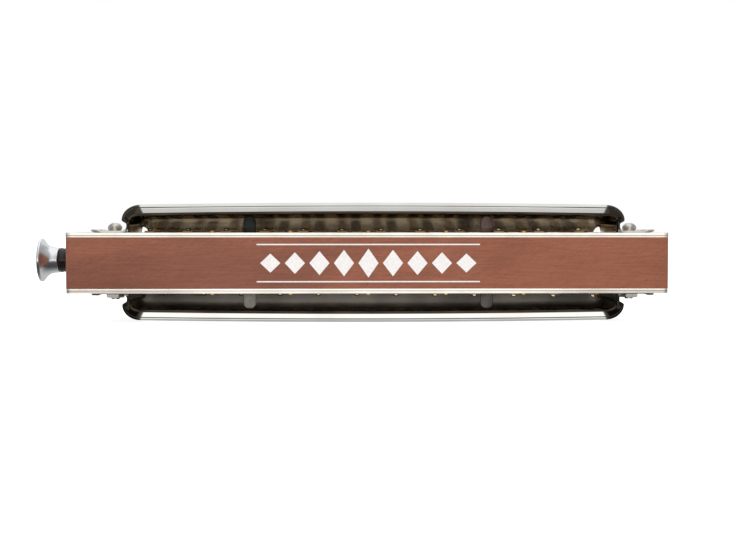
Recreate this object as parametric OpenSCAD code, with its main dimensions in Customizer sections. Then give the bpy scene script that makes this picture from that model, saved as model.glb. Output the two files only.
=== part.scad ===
// Twelve-hole chromatic harmonica: wooden comb, two reed plates, two open-backed metal
// covers and a spring-loaded slide under the mouthpiece, pushed by a flared button.
// X runs along the row of holes, Y from the open back to the mouthpiece, Z up.
// The origin is on the surface that the harmonica lies on, under the middle of its box.

/* [Comb] */
// Length of the comb along the row of holes
comb_w = 138; // [134:0.5:142]
// Depth of the comb from the open back to the slide
comb_d = 28.5; // [27.5:0.5:30]
// Thickness of the wood between the two reed plates
comb_t = 11.75; // [11.2:0.05:12.5]
// Rounding of the comb's upright end corners
comb_corner_r = 1.0; // [0.5:0.1:2.5]

/* [Holes and reeds] */
// Number of mouth holes
holes = 12; // [12:1:12]
// Distance between neighbouring mouth holes
hole_pitch = 9.13; // [9:0.01:9.2]
// Middle of the row of holes, measured from the comb's middle
row_x = 0.3; // [0:0.1:0.6]
// Diameter of a mouth hole
mouth_dia = 7; // [6.6:0.1:7.4]
// Thickness of a reed plate
plate_t = 1.05; // [0.9:0.05:1.2]
// Free length of the highest reed
reed_short = 10; // [9:0.5:11]
// Free length of the lowest reed
reed_long = 20.5; // [19:0.5:21]
// Width of a reed's tongue
reed_w = 2.0; // [1.8:0.05:2.05]

/* [Covers] */
// Height of a cover above its reed plate, at the middle
cover_rise = 6.925; // [6.6:0.025:7.2]
// Half of a cover's hollow length, at its widest
cover_half = 58.4; // [57.5:0.1:58.6]
// How much lower the cover's ends are than its middle
cover_crown = 0.45; // [0.2:0.05:0.6]
// Sheet thickness of a cover
sheet_t = 0.45; // [0.4:0.05:0.5]
// Middle of the covers, measured from the comb's middle
cover_x = 1.4; // [1:0.05:1.5]
// Height of the rolled rim at the open back
rim_h = 2.75; // [2.4:0.05:2.9]

/* [Slide and button] */
// How far the button pushes in
slide_travel = 4.5; // [4:0.1:4.5]
// Diameter of the button's outer rim
button_dia = 10.8; // [10:0.1:11.5]
// Diameter of the button's neck
button_neck_dia = 6.4; // [6:0.1:6.6]
// Length of the button
button_len = 4.8; // [4.6:0.1:5.2]
// Depth of the mouthpiece
mouthpiece_d = 7.9; // [7.5:0.1:8.5]
// Height of the mouthpiece
mouthpiece_h = 13.8; // [13.4:0.1:14.2]

/* [Hidden] */
$fn = 48;
cut = 1;            // how far a cutting shape runs past the surface it cuts
fit_gap = 0.05;     // clearance between the slide and its cage, on each side

// Heights above the comb's middle plane
wood_z = comb_t / 2;
plate_z = wood_z + plate_t;
cover_top_z = plate_z + cover_rise;

// Chambers: each mouth hole feeds an upper and a lower pair
chamber_w = 2.7;
chamber_offset = 1.78;      // from the hole's middle to each chamber's middle
web_t = 1.3;                // wood between the upper and the lower chambers
slot_w = reed_w + 0.2;
slot_front_y = comb_d - 3;  // all reed slots end on this line at the front
pad_l = 2.8;                // riveted end of a reed
pad_t = 0.4;
tongue_t = 0.25;
tongue_gap = 0.08;          // a reed's tongue stands this far off its plate
rivet_d = 0.8;
rivet_head_d = 1.3;
rivet_head_h = 0.7;
valve_t = 0.15;
valve_w = 2.5;

// Slide stack, from the comb's front face outwards
back_plate_t = 0.8;
slide_t = 0.6;
cage_t = 0.6;
slide_y = comb_d + back_plate_t + fit_gap;
cage_y = slide_y + slide_t + fit_gap;
mouthpiece_y = cage_y + cage_t;
stack_h = 13;               // height of the back plate and of the cage
slide_h = 9.9;
window_w = 4.2;
window_h = 3.3;
window_z = 2.25;            // middle of each row of air windows
stack_left = -comb_w / 2 - 0.3;
stack_right = comb_w / 2 - 0.6;
screw_span = 62.3;          // mouthpiece screws, from the row's middle
mouth_screw_d = 1.8;
screw_seat = 2.2;           // depth of a screw head's seat in the mouthpiece
screw_bite = 9;             // length of screw in the wood
mouthpiece_half = 67.3;
mouthpiece_wall = 1.2;

// Button end of the slide
tongue_h = 4;
button_face_x = -comb_w / 2 - 12.45;
neck_x = button_face_x + button_len;
bumper_dia = 6.2;
bumper_r = bumper_dia / 2;
bumper_end_x = stack_left - slide_travel - 0.05;
bumper_l = bumper_end_x - neck_x;
slide_mid_y = slide_y + slide_t / 2;

// Return spring, in a pocket behind the back plate at the far end of the row
wire_d = 0.6;
spring_tip = [56.6, 3.4];   // x and z where the wire enters the slide
spring_coil = [59.4, -2.0]; // x and z of the coil's middle
coil_r = 1.7;
pocket = [6.4, 3.7, 9.6];

// Cover fastening
cover_screw_span = 61.3;    // from the covers' middle
cover_screw_y = 13;
cover_screw_d = 2;
screw_clear = 0.15;
flange_half = 65.8;
flange_d = 16;
tab_r = 2;                  // rounding of a tab's outer corners
nut_d = 4.3;
nut_h = 1.15;
rim_y = 3.9;                // rear face of the covers' rolled rim
rim_side = 2.4;             // width of the rim at the covers' ends
rim_curl = 2;               // how far the rim turns in
relief_d = 3.6;
support_y = 5.5;
support_t = 0.6;
support_w = 2.9;
support_span = 27.6;        // from the supports' own middle
support_mid = 0.1;
nail_d = 0.8;
nail_y = 1.9;
nail_pitch = 17.9;

// Whole box, used only to set the origin
box_mid_x = (button_face_x + comb_w / 2) / 2;
box_mid_y = (mouthpiece_y + mouthpiece_d) / 2;

// The covers' crowned top is a run of straight facets: the middle one is level
crown_steps = 7;
crown_r = (cover_half * cover_half + cover_crown * cover_crown) / (2 * cover_crown);

function hole_x(i) = row_x + (i - (holes - 1) / 2) * hole_pitch;
// side is -1 for the draw reed of a hole and +1 for its blow reed; deck is 1 for the upper
// plate and -1 for the lower, where the two reeds of a hole change places
function slot_x(i, side, deck) = hole_x(i) + side * deck * chamber_offset;
function slot_l(x) = reed_short + (reed_long - reed_short) * (x - hole_x(0) + 4) / (11 * hole_pitch + 8);
function crown_drop(x) = crown_r - sqrt(crown_r * crown_r - x * x);

// Moves a shape drawn about the comb's rear face and middle plane to the final origin
module placed() {
    translate([-box_mid_x, -box_mid_y, cover_top_z]) children();
}

// Turns a shape drawn for the upper side over to the lower one when deck is -1
module on_deck(deck) {
    mirror([0, 0, deck < 0 ? 1 : 0]) children();
}

module along_y(h, d) {
    rotate([-90, 0, 0]) cylinder(h = h, d = d);
}

// Upright block with rounded end corners, centred on x = 0 and starting at y = 0
module rounded_block(w, d, h, r) {
    linear_extrude(h) union() {
        translate([-w / 2 + r, 0]) square([w - 2 * r, d]);
        translate([-w / 2, r]) square([w, d - 2 * r]);
        for (x = [-w / 2 + r, w / 2 - r], y = [r, d - r]) translate([x, y]) circle(r = r);
    }
}

module cover_screw_holes(d) {
    for (s = [-1, 1])
        translate([cover_x + s * cover_screw_span, cover_screw_y, -20]) cylinder(h = 40, d = d);
}

module mouth_screw_holes(d, y, l) {
    for (s = [-1, 1]) translate([row_x + s * screw_span, y, 0]) along_y(l, d);
}

function nail_places() = concat(
    [for (k = [-2:2]) [nail_pitch * k, nail_y]],
    [for (s = [-1, 1]) [s * 66, 25.2]]);

// ---- comb ----
module comb() color("#8b5845") placed() difference() {
    translate([0, 0, -wood_z]) rounded_block(comb_w, comb_d, comb_t, comb_corner_r);
    for (i = [0:holes - 1], side = [-1, 1], deck = [-1, 1]) {
        x = slot_x(i, side, deck);
        rear = slot_front_y - slot_l(x) - 0.6;
        on_deck(deck)
            translate([x - chamber_w / 2, rear, web_t / 2])
                cube([chamber_w, comb_d - rear + cut, wood_z - web_t / 2 + cut]);
    }
    cover_screw_holes(cover_screw_d + 2 * screw_clear);
    mouth_screw_holes(mouth_screw_d, comb_d - screw_bite, screw_bite + cut);
    for (p = nail_places(), deck = [-1, 1]) on_deck(deck)
        translate([p[0], p[1], wood_z - 3]) cylinder(h = 3 + cut, d = nail_d);
    translate([spring_tip[0] - 0.7, comb_d - pocket[1], -pocket[2] / 2])
        cube([pocket[0], pocket[1] + cut, pocket[2]]);
    translate([spring_coil[0] + coil_r, comb_d - pocket[1] - 2.4, spring_coil[1]])
        along_y(2.4 + cut, wire_d + 0.1);
}

// ---- reed plates ----
module reed_plate(deck) on_deck(deck) difference() {
    translate([0, 0, wood_z]) rounded_block(comb_w, comb_d, plate_t, 1.2);
    for (i = [0:holes - 1], side = [-1, 1]) {
        x = slot_x(i, side, deck);
        translate([x - slot_w / 2, slot_front_y - slot_l(x), wood_z - cut])
            cube([slot_w, slot_l(x), plate_t + 2 * cut]);
        translate([x, rivet_y(x, side), wood_z - cut]) cylinder(h = plate_t + 2 * cut, d = rivet_d);
    }
    for (p = nail_places())
        translate([p[0], p[1], wood_z - cut]) cylinder(h = plate_t + 2 * cut, d = nail_d);
    for (s = [-1, 1])
        translate([support_mid + s * support_span - 0.8, support_y, wood_z - cut])
            cube([1.6, support_t, plate_t + 2 * cut]);
    cover_screw_holes(cover_screw_d + 2 * screw_clear);
}

module upper_reed_plate() color("#cdb98f") placed() reed_plate(1);
module lower_reed_plate() color("#cdb98f") placed() reed_plate(-1);

// ---- reeds: draw reeds outside, riveted at the rear; blow reeds inside, riveted in front ----
function rivet_y(x, side) =
    side < 0 ? slot_front_y - slot_l(x) - pad_l / 2 : slot_front_y + pad_l / 2 - 0.1;

module reed(x, side) {
    l = slot_l(x);
    pad_y = side < 0 ? slot_front_y - l - pad_l : slot_front_y + 0.05;
    tongue_y = side < 0 ? slot_front_y - l - 0.3 : slot_front_y - l + 0.1;
    difference() {
        union() {
            translate([x - 1.15, pad_y, 0]) cube([2.3, pad_l - 0.1, pad_t]);
            translate([x - reed_w / 2, tongue_y, tongue_gap]) cube([reed_w, l + 0.2, tongue_t]);
        }
        translate([x, rivet_y(x, side), -cut]) cylinder(h = pad_t + 2 * cut, d = rivet_d);
    }
}

module draw_reeds(deck) on_deck(deck) translate([0, 0, plate_z])
    for (i = [0:holes - 1]) reed(slot_x(i, -1, deck), -1);
module blow_reeds(deck) on_deck(deck) translate([0, 0, wood_z]) mirror([0, 0, 1])
    for (i = [0:holes - 1]) reed(slot_x(i, 1, deck), 1);

module upper_draw_reeds() color("#c9a45c") placed() draw_reeds(1);
module lower_draw_reeds() color("#c9a45c") placed() draw_reeds(-1);
module upper_blow_reeds() color("#c9a45c") placed() blow_reeds(1);
module lower_blow_reeds() color("#c9a45c") placed() blow_reeds(-1);

// ---- rivets: a head on the reed's side, a shank and a peened end on the other ----
module rivet_domed(h, d) {
    cylinder(h = h - 0.2, d = d, $fn = 24);
    translate([0, 0, h - 0.2]) cylinder(h = 0.2, d1 = d, d2 = d - 0.5, $fn = 24);
}

module reed_rivets(deck) on_deck(deck) for (i = [0:holes - 1], side = [-1, 1]) {
    x = slot_x(i, side, deck);
    outside = side < 0;
    translate([x, rivet_y(x, side), 0]) {
        translate([0, 0, wood_z - (outside ? 0 : pad_t)])
            cylinder(h = plate_t + pad_t, d = rivet_d, $fn = 24);
        if (outside) {
            translate([0, 0, plate_z + pad_t]) rivet_domed(rivet_head_h, rivet_head_d);
        } else {
            translate([0, 0, plate_z]) rivet_domed(0.25, 1.1);
            translate([0, 0, wood_z - pad_t]) mirror([0, 0, 1]) rivet_domed(0.45, 1.2);
        }
    }
}

module upper_reed_rivets() color("#7d6a4c") placed() reed_rivets(1);
module lower_reed_rivets() color("#7d6a4c") placed() reed_rivets(-1);

// ---- valves: thin flaps over the back of each slot ----
module outer_valve(x) {
    rear = slot_front_y - slot_l(x) - 0.8;
    translate([x - valve_w / 2, rear, 0]) cube([valve_w, slot_front_y + 0.65 - rear, valve_t]);
}

module inner_valve(x) {
    rear = slot_front_y - slot_l(x) - 0.55;
    translate([x - valve_w / 2, rear, 0]) cube([valve_w, slot_front_y + 0.8 - rear, valve_t]);
}

module outer_valves(deck) on_deck(deck) translate([0, 0, plate_z])
    for (i = [0:holes - 1]) outer_valve(slot_x(i, 1, deck));
module inner_valves(deck) on_deck(deck) translate([0, 0, wood_z]) mirror([0, 0, 1])
    for (i = [0:holes - 1]) inner_valve(slot_x(i, -1, deck));

module upper_outer_valves() color("#d9d5c8") placed() outer_valves(1);
module lower_outer_valves() color("#d9d5c8") placed() outer_valves(-1);
module upper_inner_valves() color("#d9d5c8") placed() inner_valves(1);
module lower_inner_valves() color("#d9d5c8") placed() inner_valves(-1);

// ---- nails that hold the plates to the comb ----
module plate_nails() for (p = nail_places()) translate([p[0], p[1], 0]) {
    translate([0, 0, wood_z - 3]) cylinder(h = 3 + plate_t, d = nail_d, $fn = 24);
    translate([0, 0, plate_z]) rivet_domed(0.4, 1.5);
}

module upper_plate_nails() color("#c8a040") placed() plate_nails();
module lower_plate_nails() color("#c8a040") placed() on_deck(-1) plate_nails();

// ---- covers ----
// Outline of a cover seen from the back, shrunk inwards by e; the foot flares out at the base
corner_rx = 4.4;
corner_rz = 3.6;
neck_in = 1.1;
neck_z = plate_z + 1.9;
bulge_z = cover_top_z - cover_crown - corner_rz;

function end_side(e) = [
    [cover_half - neck_in - e, plate_z - cut],
    [cover_half - neck_in - e, neck_z],
    for (t = [1:4]) [
        cover_half - e - neck_in * (1 + cos(t * 45)) / 2, neck_z + (bulge_z - neck_z) * t / 4],
    for (a = [15:15:75]) [
        cover_half - corner_rx + (corner_rx - e) * cos(a), bulge_z + (corner_rz - e) * sin(a)]
];

function crown_line(e) = let (flat_x = cover_half - corner_rx) [
    for (k = [0:crown_steps]) let (x = flat_x * (1 - 2 * k / crown_steps))
        [x, cover_top_z - crown_drop(x) + crown_drop(flat_x / crown_steps) - e]
];

function other_side(points) = [for (k = [len(points) - 1:-1:0]) [-points[k][0], points[k][1]]];

// side_e and top_e shrink the ends and the roof by different amounts
function back_outline(side_e, top_e) =
    concat(end_side(side_e), crown_line(top_e), other_side(end_side(side_e)));

// Cross-section from the mouthpiece side over the roof to the rolled rim, shrunk by e
front_y = 28.2;
front_lean = 0.6;
front_r = 3.9;

function roof_section(e) = [
    [front_y - e, plate_z - cut],
    [front_y - e, plate_z],
    [front_y - front_lean - e, cover_top_z - front_r],
    for (a = [15:15:75]) [
        front_y - front_lean - front_r + (front_r - e) * cos(a),
        cover_top_z - front_r + (front_r - e) * sin(a)],
    [front_y - front_lean - front_r, cover_top_z + (e > 0 ? -e : cut)],
    [rim_y + 0.8, cover_top_z + (e > 0 ? -e : cut)],
    [rim_y + 0.8 - (0.8 - e) * 0.5, cover_top_z - 0.8 + (0.8 - e) * 0.87],
    [rim_y + 0.8 - (0.8 - e) * 0.87, cover_top_z - 0.8 + (0.8 - e) * 0.5],
    [rim_y + e, cover_top_z - 0.8],
    [rim_y + e, plate_z - cut]
];

module back_prism(points, y, l) translate([cover_x, y + l, 0]) rotate([90, 0, 0])
    linear_extrude(l) polygon(points);

module side_prism(points, x, l) translate([x, 0, 0]) rotate([90, 0, 90])
    linear_extrude(l) polygon(points);

module cover_solid(e) intersection() {
    back_prism(back_outline(e, e), 0, comb_d);
    side_prism(roof_section(e), -comb_w / 2, comb_w);
}

// End tab with a rounded outer edge and a screw hole
module cover_tab() difference() {
    translate([0, cover_screw_y - flange_d / 2, plate_z]) linear_extrude(sheet_t) union() {
        translate([cover_half - neck_in - sheet_t, 0])
            square([flange_half - tab_r - cover_half + neck_in + sheet_t, flange_d]);
        translate([cover_half, tab_r]) square([flange_half - cover_half, flange_d - 2 * tab_r]);
        for (y = [tab_r, flange_d - tab_r]) translate([flange_half - tab_r, y]) circle(r = tab_r);
    }
    translate([cover_screw_span, cover_screw_y, 0]) cylinder(h = 20, d = cover_screw_d + 2 * screw_clear);
}

module cover_sheet() {
    difference() {
        cover_solid(0);
        cover_solid(sheet_t);
        back_prism(back_outline(rim_side, rim_h), 0, rim_y + rim_curl);
        translate([-comb_w / 2, -cut, plate_z - 2 * cut]) cube([comb_w, comb_d + 2 * cut, 2 * cut]);
        // small arched relief at each front corner
        for (s = [-1, 1]) translate([cover_x + s * (cover_half - 1.2), front_y - 3.2, plate_z - 0.4])
            rotate([0, 90, 45 * s]) cylinder(h = 8, d = relief_d, center = true);
    }
    for (s = [0, 1]) translate([cover_x, 0, 0]) mirror([s, 0, 0]) cover_tab();
}

module upper_cover() color("#c9cacb") placed() cover_sheet();
module lower_cover() color("#c9cacb") placed() on_deck(-1) cover_sheet();

// ---- supports between each plate and the free edge of its cover's rim ----
support_top = cover_top_z - rim_h - crown_drop(support_span) - 0.12;

module support(side) translate([support_mid + side * support_span, support_y, 0]) {
    h = support_top - plate_z;
    translate([-support_w / 2, support_t, plate_z]) rotate([90, 0, 0]) linear_extrude(support_t) union() {
        square([support_w, h - 0.9]);
        translate([0.9, 0]) square([support_w - 1.8, h]);
        for (x = [0.9, support_w - 0.9]) translate([x, h - 0.9]) circle(r = 0.9);
    }
    translate([-support_w / 2, support_t, plate_z]) cube([support_w, 1, 0.45]);
    translate([-0.8, 0, wood_z]) cube([1.6, support_t, plate_t]);
}

module upper_left_support() color("#b9b7b0") placed() support(-1);
module upper_right_support() color("#b9b7b0") placed() support(1);
module lower_left_support() color("#b9b7b0") placed() on_deck(-1) support(-1);
module lower_right_support() color("#b9b7b0") placed() on_deck(-1) support(1);

// ---- cover screws and nuts ----
tab_z = plate_z + sheet_t;

module cover_screws() color("#d5d2ca") placed() for (s = [-1, 1])
    translate([cover_x + s * cover_screw_span, cover_screw_y, 0]) {
        translate([0, 0, -tab_z - nut_h - 0.35])
            cylinder(h = 2 * tab_z + nut_h + 0.35, d = cover_screw_d);
        translate([0, 0, tab_z]) difference() {
            rotate_extrude() polygon(concat(
                [[0, 0], [1.45, 0]],
                [for (a = [0:15:90]) [0.25 + 1.45 * cos(a), 0.55 + 1.3 * sin(a)]], [[0, 1.85]]));
            translate([-2, -0.22, 1.35]) cube([4, 0.44, 1]);
        }
    }

module cover_nuts() color("#b8b4aa") placed() for (s = [-1, 1])
    translate([cover_x + s * cover_screw_span, cover_screw_y, -tab_z - nut_h]) difference() {
        cylinder(h = nut_h, d = nut_d, $fn = 6);
        translate([0, 0, -cut]) cylinder(h = nut_h + 2 * cut, d = cover_screw_d);
    }

// ---- slide mechanism ----
module windows(y, l, shift) for (i = [0:holes - 1], top = [-1, 1])
    translate([hole_x(i) - window_w / 2 + (top < 0 ? shift : 0), y, top * window_z - window_h / 2])
        cube([window_w, l, window_h]);

module stack_sheet(y, t) translate([(stack_left + stack_right) / 2, y + t, 0]) rotate([90, 0, 0])
    translate([0, -stack_h / 2, 0]) rounded_block(stack_right - stack_left, stack_h, t, 1.5);

module slide_back_plate() color("#c7c3b8") placed() difference() {
    stack_sheet(comb_d, back_plate_t);
    windows(comb_d - cut, back_plate_t + 2 * cut, 0);
    mouth_screw_holes(mouth_screw_d + 0.4, comb_d - cut, 4);
    translate([spring_tip[0] - 0.6, comb_d - cut, spring_tip[1] - 0.6])
        cube([slide_travel + 1.2, 4, 1.2]);
}

module slide_cage() color("#c7c3b8") placed() difference() {
    stack_sheet(comb_d + back_plate_t, slide_t + 2 * fit_gap + cage_t);
    // guide channel, open at both ends
    translate([stack_left - cut, comb_d, -slide_h / 2 - fit_gap])
        cube([stack_right - stack_left + 2 * cut, back_plate_t + slide_t + 2 * fit_gap,
            slide_h + 2 * fit_gap]);
    windows(cage_y - cut, cage_t + 2 * cut, 0);
    mouth_screw_holes(mouth_screw_d + 0.4, comb_d, 4);
}

slide_end_x = spring_tip[0] + 1.5;
slide_start_x = stack_left + 1.2;
screw_pass = 1.35;          // half height of the slide's cut-outs round the screws

module slide() color("#d8d6cf") placed() difference() {
    union() {
        translate([slide_start_x, slide_y, -slide_h / 2])
            cube([slide_end_x - slide_start_x, slide_t, slide_h]);
        translate([button_face_x + 1.4, slide_y, -tongue_h / 2])
            cube([slide_start_x - button_face_x, slide_t, tongue_h]);
    }
    windows(slide_y - cut, slide_t + 2 * cut, -hole_pitch / 2);
    // a long slot and an open notch pass the mouthpiece screws over the whole travel
    translate([row_x - screw_span - slide_travel - screw_pass, slide_y - cut, -screw_pass])
        cube([slide_travel + 2 * screw_pass, slide_t + 2 * cut, 2 * screw_pass]);
    translate([row_x + screw_span - slide_travel - screw_pass, slide_y - cut, -screw_pass])
        cube([10, slide_t + 2 * cut, 2 * screw_pass]);
    translate([spring_tip[0], slide_y - cut, spring_tip[1]]) along_y(slide_t + 2 * cut, wire_d + 0.3);
    translate([neck_x - 1.5, slide_y - cut, 0]) along_y(slide_t + 2 * cut, 1);
}

// ---- mouthpiece ----
// Outline seen from above: the ends sweep back in a quarter round
module mouthpiece_plan(e) {
    r = 4;
    w = 2 * (mouthpiece_half - e);
    translate([row_x, 0]) union() {
        translate([-w / 2, 0]) square([w, mouthpiece_d - r]);
        translate([-w / 2 + r - e, 0]) square([w - 2 * (r - e), mouthpiece_d - e]);
        for (s = [-1, 1]) translate([s * (w / 2 - r + e), mouthpiece_d - r]) circle(r = r - e);
    }
}

// Cross-section: flat back, rounded lip side
module mouthpiece_section(e) {
    r = 3.6;
    translate([0, -mouthpiece_h / 2 + e]) square([mouthpiece_d - r, mouthpiece_h - 2 * e]);
    translate([0, -mouthpiece_h / 2 + r]) square([mouthpiece_d - e, mouthpiece_h - 2 * r]);
    for (s = [-1, 1]) translate([mouthpiece_d - r, s * (mouthpiece_h / 2 - r)]) circle(r = r - e);
}

module mouthpiece_body(e) intersection() {
    translate([0, 0, -mouthpiece_h]) linear_extrude(2 * mouthpiece_h) mouthpiece_plan(e);
    translate([-comb_w, 0, 0]) rotate([90, 0, 90]) linear_extrude(2 * comb_w) mouthpiece_section(e);
}

module mouthpiece() color("#d4d5d6") placed() translate([0, mouthpiece_y, 0]) difference() {
    union() {
        difference() {
            mouthpiece_body(0);
            translate([0, -0.01, 0]) mouthpiece_body(mouthpiece_wall);
        }
        // a collar round each hole carries the breath back to the cage
        intersection() {
            mouthpiece_body(0);
            for (i = [0:holes - 1]) translate([hole_x(i), 0, 0]) along_y(mouthpiece_d, mouth_dia + 1.6);
        }
        intersection() {
            mouthpiece_body(0);
            mouth_screw_holes(5.2, 0, mouthpiece_d);
        }
    }
    for (i = [0:holes - 1]) translate([hole_x(i), -cut, 0]) {
        along_y(mouthpiece_d + 2 * cut, mouth_dia);
        translate([0, cut + mouthpiece_d - 0.5, 0]) rotate([-90, 0, 0])
            cylinder(h = 0.6, d1 = mouth_dia, d2 = mouth_dia + 1.2);
    }
    mouth_screw_holes(mouth_screw_d + 0.4, -cut, 20);
    mouth_screw_holes(3.9, mouthpiece_d - screw_seat, 10);
}

module mouthpiece_screws() color("#d5d2ca") placed() for (s = [-1, 1])
    translate([row_x + s * screw_span, mouthpiece_y + mouthpiece_d - screw_seat, 0]) {
        rotate([90, 0, 0])
            cylinder(h = mouthpiece_y + mouthpiece_d - screw_seat - comb_d + screw_bite, d = mouth_screw_d);
        difference() {
            rotate([-90, 0, 0]) rotate_extrude() polygon(concat(
                [[0, 0], [1.6, 0]],
                [for (a = [0:15:90]) [0.3 + 1.4 * cos(a), 0.3 + 0.9 * sin(a)]], [[0, 1.2]]));
            translate([-2, 0.85, -0.2]) cube([4, 1, 0.4]);
        }
    }

// ---- button, bumper, pin ----
// Trumpet flare about the slide's own line, neck towards the comb
module on_slide_axis(x) translate([x, slide_mid_y, 0]) rotate([0, 90, 0]) children();

module tongue_slot(gap, from_x, to_x) translate([from_x, slide_y - gap, -tongue_h / 2 - gap])
    cube([to_x - from_x, slide_t + 2 * gap, tongue_h + 2 * gap]);

button_r = button_dia / 2;
neck_r = button_neck_dia / 2;
flare_r = button_r - neck_r - 0.25;

module button() color("#d9dadb") placed() difference() {
    on_slide_axis(button_face_x) rotate_extrude() polygon(concat(
        [[0, 0.45], [2.6, 0.3], [4.4, 0.05]],
        [[button_r - 0.35, 0], [button_r, 0.3], [button_r - 0.05, 0.7]],
        [for (a = [10:16:90]) [
            neck_r + flare_r * (1 - sin(a)), 0.8 + (button_len - 1.6) * (1 - cos(a))]],
        [[neck_r, button_len - 0.3], [neck_r - 0.25, button_len], [0, button_len]]));
    tongue_slot(0, button_face_x + 1.4, neck_x + cut);
    on_slide_axis(neck_x - 0.5) cylinder(h = 0.5 + cut, d = bumper_dia - 0.6);
    translate([neck_x - 1.5, slide_mid_y - button_r, 0]) along_y(2 * button_r, 1);
}

module bumper() color("#141210") placed() difference() {
    union() {
        on_slide_axis(neck_x - 0.5) cylinder(h = 0.5, d = bumper_dia - 0.6);
        on_slide_axis(neck_x) rotate_extrude() polygon([
            [0, 0], [bumper_r - 0.3, 0], [bumper_r, 0.35], [bumper_r, bumper_l - 0.4],
            [bumper_r - 0.4, bumper_l], [0, bumper_l]]);
    }
    tongue_slot(0, neck_x - 2, bumper_end_x + cut);
}

module button_pin() color("#b5b1a6") placed()
    translate([neck_x - 1.5, slide_mid_y - 3.0, 0]) along_y(6.0, 1);

// ---- return spring: anchored in the comb, coil, arm, tip hooked through the slide ----
spring_turns = 2;
coil_back_y = comb_d - pocket[1] + 0.7;
coil_front_y = comb_d - 0.6;

function spring_route() = concat(
    [[spring_coil[0] + coil_r, comb_d - pocket[1] - 2.2, spring_coil[1]],
     [spring_coil[0] + coil_r, coil_back_y - 0.5, spring_coil[1]]],
    [for (k = [0:36]) let (a = -k * (360 * spring_turns + 180) / 36, u = k / 36) [
        spring_coil[0] + coil_r * cos(a),
        coil_back_y + (coil_front_y - coil_back_y) * u,
        spring_coil[1] + coil_r * sin(a)]],
    [[spring_tip[0] + 0.6, coil_front_y, spring_tip[1] - 1.2],
     [spring_tip[0] + 0.1, coil_front_y + 0.1, spring_tip[1] - 0.15],
     [spring_tip[0], coil_front_y + 0.6, spring_tip[1]],
     [spring_tip[0], slide_y + slide_t - 0.05, spring_tip[1]]]);

function unit(v) = v / norm(v);
sides = 8;

module wire(route, d) {
    n = len(route);
    // each ring stands square to the route; its first arm is carried on from the ring before
    function tangent(i) = unit(route[min(i + 1, n - 1)] - route[max(i - 1, 0)]);
    function carried(arm, t) = unit(arm - (arm * t) * t);
    arms = [for (i = 0, arm = carried([0.3, 0.1, 1], tangent(0)); i < n;
        i = i + 1, arm = i < n ? carried(arm, tangent(i)) : arm) arm];
    points = [for (i = [0:n - 1], k = [0:sides - 1])
        let (t = tangent(i), u = arms[i], v = cross(t, u), a = 360 * k / sides)
        route[i] + d / 2 * (cos(a) * u + sin(a) * v)];
    skins = [for (i = [0:n - 2], k = [0:sides - 1])
        let (a = i * sides + k, b = i * sides + (k + 1) % sides) [a, a + sides, b + sides, b]];
    caps = [[for (k = [0:sides - 1]) k], [for (k = [sides - 1:-1:0]) (n - 1) * sides + k]];
    polyhedron(points, concat(skins, caps));
}

module slide_spring() color("#8d8a84") placed() wire(spring_route(), wire_d);

comb();
upper_reed_plate();
lower_reed_plate();
upper_draw_reeds();
lower_draw_reeds();
upper_blow_reeds();
lower_blow_reeds();
upper_reed_rivets();
lower_reed_rivets();
upper_outer_valves();
lower_outer_valves();
upper_inner_valves();
lower_inner_valves();
upper_plate_nails();
lower_plate_nails();
upper_cover();
lower_cover();
upper_left_support();
upper_right_support();
lower_left_support();
lower_right_support();
cover_screws();
cover_nuts();
slide_back_plate();
slide_cage();
slide();
mouthpiece();
mouthpiece_screws();
button();
bumper();
button_pin();
slide_spring();
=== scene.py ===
"""Looks of a twelve-hole chromatic harmonica, seen from its open back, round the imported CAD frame.

Lengths are in millimetres until a mesh is made; Blender gets metres.
"""

import math

import bmesh
import bpy
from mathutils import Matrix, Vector


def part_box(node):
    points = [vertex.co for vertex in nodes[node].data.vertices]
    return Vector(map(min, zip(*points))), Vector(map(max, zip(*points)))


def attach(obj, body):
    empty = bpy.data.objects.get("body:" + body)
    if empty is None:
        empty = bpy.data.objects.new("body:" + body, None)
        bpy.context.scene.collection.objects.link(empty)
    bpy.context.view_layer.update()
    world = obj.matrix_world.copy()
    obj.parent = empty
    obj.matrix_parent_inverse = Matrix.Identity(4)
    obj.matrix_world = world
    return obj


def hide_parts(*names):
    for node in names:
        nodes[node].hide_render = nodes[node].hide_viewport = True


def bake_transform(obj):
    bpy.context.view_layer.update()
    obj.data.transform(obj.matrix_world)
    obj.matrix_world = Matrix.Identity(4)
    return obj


MM = 0.001
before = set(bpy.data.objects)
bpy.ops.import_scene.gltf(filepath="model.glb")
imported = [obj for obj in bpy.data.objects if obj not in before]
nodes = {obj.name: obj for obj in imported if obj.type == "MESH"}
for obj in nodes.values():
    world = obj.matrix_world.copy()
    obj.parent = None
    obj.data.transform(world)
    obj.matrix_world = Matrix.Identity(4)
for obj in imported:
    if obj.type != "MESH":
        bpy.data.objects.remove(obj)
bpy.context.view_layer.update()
scene = bpy.context.scene


def box_mm(name):
    """A CAD node's lowest and highest corners, in millimetres."""
    lo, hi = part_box(name)
    return lo / MM, hi / MM


comb_lo, comb_hi = box_mm("comb")
mid_z = (comb_lo.z + comb_hi.z) / 2
cover_lo, cover_hi = box_mm("upper_cover")
cover_x = (cover_lo.x + cover_hi.x) / 2
tab_half = (cover_hi.x - cover_lo.x) / 2
cover_top = cover_hi.z - mid_z
cover_base = box_mm("upper_reed_plate")[1].z - mid_z
rim_y, cover_front = cover_lo.y, cover_hi.y

# Half of a cover's length without its end tabs, and how far its rounded upper corners reach
# along and down
COVER_HALF = 58.4
CORNER_X, CORNER_Z = 4.4, 3.6
# Stretch of grain or brushing that runs along the row of holes
ALONG_X = (0.04, 1, 1)


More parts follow.
